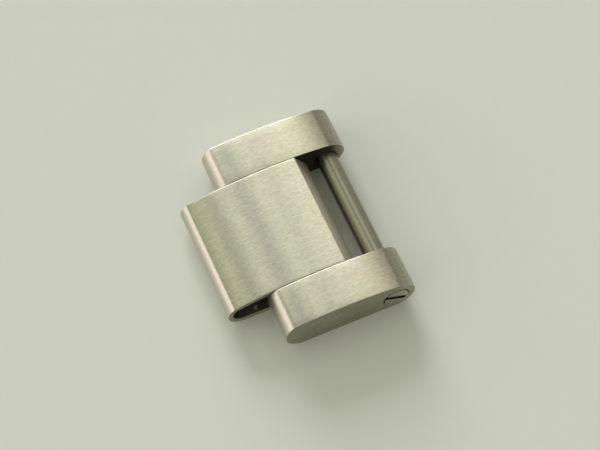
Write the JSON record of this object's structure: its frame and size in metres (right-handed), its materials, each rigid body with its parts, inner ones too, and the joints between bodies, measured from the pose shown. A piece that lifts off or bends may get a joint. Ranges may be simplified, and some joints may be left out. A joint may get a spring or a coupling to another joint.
{
  "type": "watch bracelet link",
  "caption": "Watch bracelet link: hollow folded steel centre between solid rounded outer pieces, with a slotted side screw that hinges the next link.",
  "frame": {"origin": "middle of the footprint, on the flat underside that faces the wrist", "axes": "+X along the bracelet towards the screw end, +Y across the bracelet away from the screw head, +Z out of the wrist through the brushed top"},
  "size_m": [0.0134, 0.016, 0.0033],
  "materials": {
    "brushed_outer": "fine straight brushing along the link on top, plain satin sides, polished round ends",
    "brushed_sheet": "fine straight brushing along the link on top, smooth knuckle and slope, raw sheet edges",
    "turned_pin": "turned, plain",
    "polished_screw": "smooth turned shaft, slotted head"
  },
  "bodies": {
    "link": {"outer_link_screw_side": "brushed_outer", "outer_link_blind_side": "brushed_outer", "centre_link_shell": "brushed_sheet", "fixed_pin_front": "turned_pin", "fixed_pin_rear": "turned_pin", "spacer_tube_front": "turned_pin", "spacer_tube_rear": "turned_pin"},
    "link_screw": {"link_screw": "polished_screw"}
  },
  "joints": [
    {"name": "link_screw_withdraw", "type": "slide", "parent": "link", "child": "link_screw", "axis": [0, -1, 0], "range_m": [0, 0.0155]}
  ]
}
